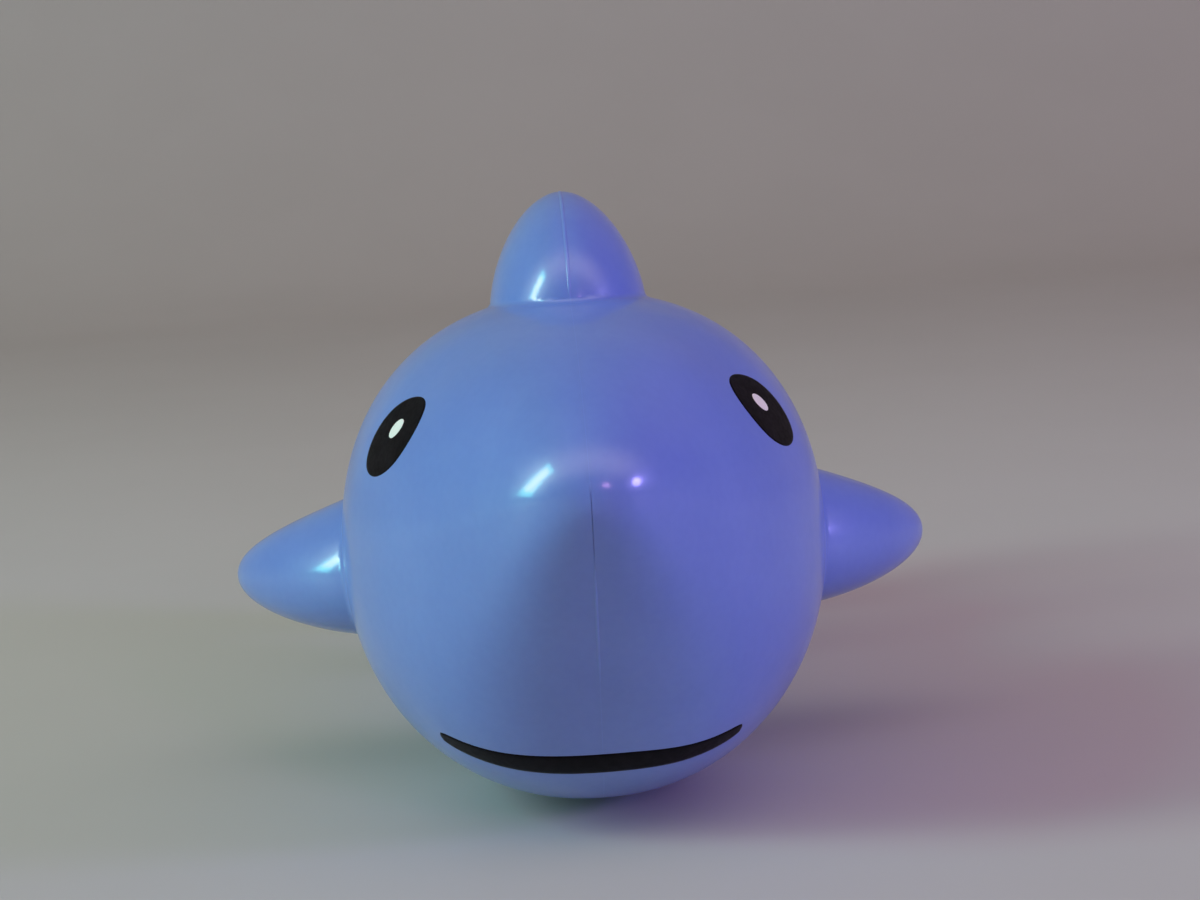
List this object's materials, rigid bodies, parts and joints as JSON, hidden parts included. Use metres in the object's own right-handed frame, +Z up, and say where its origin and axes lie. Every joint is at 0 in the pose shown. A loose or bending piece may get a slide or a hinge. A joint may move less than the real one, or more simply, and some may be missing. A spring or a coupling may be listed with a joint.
{
  "type": "pop tube fidget toy",
  "caption": "Chunky blue toy shark whose head and tail are joined by a corrugated pop tube that stretches, holds its length and bends.",
  "frame": {"origin": "on the table, under the middle of the toy's box", "axes": "+Z up, -Y the way the nose points, +Y along the tube towards the tail, X = 0 the mid-plane"},
  "size_m": [0.0958, 0.145, 0.0787],
  "materials": {
    "shell": "satin gloss moulded plastic",
    "tube": "waxy blow-moulded plastic"
  },
  "bodies": {
    "head": {"head_shell_left": "shell", "head_shell_right": "shell", "tube_front_cuff": "tube"},
    "crest_01": {"tube_crest_01": "tube"},
    "cone_01": {"tube_cone_01": "tube"},
    "crest_02": {"tube_crest_02": "tube"},
    "cone_02": {"tube_cone_02": "tube"},
    "crest_03": {"tube_crest_03": "tube"},
    "cone_03": {"tube_cone_03": "tube"},
    "crest_04": {"tube_crest_04": "tube"},
    "cone_04": {"tube_cone_04": "tube"},
    "crest_05": {"tube_crest_05": "tube"},
    "cone_05": {"tube_cone_05": "tube"},
    "crest_06": {"tube_crest_06": "tube"},
    "cone_06": {"tube_cone_06": "tube"},
    "crest_07": {"tube_crest_07": "tube"},
    "cone_07": {"tube_cone_07": "tube"},
    "crest_08": {"tube_crest_08": "tube"},
    "tail": {"tail_shell_left": "shell", "tail_shell_right": "shell", "tube_rear_cuff": "tube"}
  },
  "joints": [
    {"name": "tube_stretch", "type": "slide", "parent": "head", "child": "crest_01", "axis": [0, 1, 0], "range_m": [0, 0.006]},
    {"name": "tube_bend", "type": "hinge", "parent": "crest_01", "child": "cone_01", "pos_m": [0, -0.0005, 0.0332], "axis": [0, 0, 1], "range_deg": [-5, 5]},
    {"name": "stretch_02", "type": "slide", "parent": "cone_01", "child": "crest_02", "axis": [0, 1, 0], "range_m": [0, 0.006]},
    {"name": "bend_02", "type": "hinge", "parent": "crest_02", "child": "cone_02", "pos_m": [0, 0.0035, 0.0332], "axis": [0, 0, 1], "range_deg": [-5, 5]},
    {"name": "stretch_03", "type": "slide", "parent": "cone_02", "child": "crest_03", "axis": [0, 1, 0], "range_m": [0, 0.006]},
    {"name": "bend_03", "type": "hinge", "parent": "crest_03", "child": "cone_03", "pos_m": [0, 0.0075, 0.0332], "axis": [0, 0, 1], "range_deg": [-5, 5]},
    {"name": "stretch_04", "type": "slide", "parent": "cone_03", "child": "crest_04", "axis": [0, 1, 0], "range_m": [0, 0.006]},
    {"name": "bend_04", "type": "hinge", "parent": "crest_04", "child": "cone_04", "pos_m": [0, 0.0115, 0.0332], "axis": [0, 0, 1], "range_deg": [-5, 5]},
    {"name": "stretch_05", "type": "slide", "parent": "cone_04", "child": "crest_05", "axis": [0, 1, 0], "range_m": [0, 0.006]},
    {"name": "bend_05", "type": "hinge", "parent": "crest_05", "child": "cone_05", "pos_m": [0, 0.0155, 0.0332], "axis": [0, 0, 1], "range_deg": [-5, 5]},
    {"name": "stretch_06", "type": "slide", "parent": "cone_05", "child": "crest_06", "axis": [0, 1, 0], "range_m": [0, 0.006]},
    {"name": "bend_06", "type": "hinge", "parent": "crest_06", "child": "cone_06", "pos_m": [0, 0.0195, 0.0332], "axis": [0, 0, 1], "range_deg": [-5, 5]},
    {"name": "stretch_07", "type": "slide", "parent": "cone_06", "child": "crest_07", "axis": [0, 1, 0], "range_m": [0, 0.006]},
    {"name": "bend_07", "type": "hinge", "parent": "crest_07", "child": "cone_07", "pos_m": [0, 0.0235, 0.0332], "axis": [0, 0, 1], "range_deg": [-5, 5]},
    {"name": "stretch_08", "type": "slide", "parent": "cone_07", "child": "crest_08", "axis": [0, 1, 0], "range_m": [0, 0.006]},
    {"name": "bend_08", "type": "hinge", "parent": "crest_08", "child": "tail", "pos_m": [0, 0.0275, 0.0332], "axis": [0, 0, 1], "range_deg": [-5, 5]}
  ],
  "couplings": [
    {"joint": "stretch_02", "follows": "tube_stretch", "ratio": 1},
    {"joint": "bend_02", "follows": "tube_bend", "ratio": 1},
    {"joint": "stretch_03", "follows": "tube_stretch", "ratio": 1},
    {"joint": "bend_03", "follows": "tube_bend", "ratio": 1},
    {"joint": "stretch_04", "follows": "tube_stretch", "ratio": 1},
    {"joint": "bend_04", "follows": "tube_bend", "ratio": 1},
    {"joint": "stretch_05", "follows": "tube_stretch", "ratio": 1},
    {"joint": "bend_05", "follows": "tube_bend", "ratio": 1},
    {"joint": "stretch_06", "follows": "tube_stretch", "ratio": 1},
    {"joint": "bend_06", "follows": "tube_bend", "ratio": 1},
    {"joint": "stretch_07", "follows": "tube_stretch", "ratio": 1},
    {"joint": "bend_07", "follows": "tube_bend", "ratio": 1},
    {"joint": "stretch_08", "follows": "tube_stretch", "ratio": 1},
    {"joint": "bend_08", "follows": "tube_bend", "ratio": 1}
  ]
}
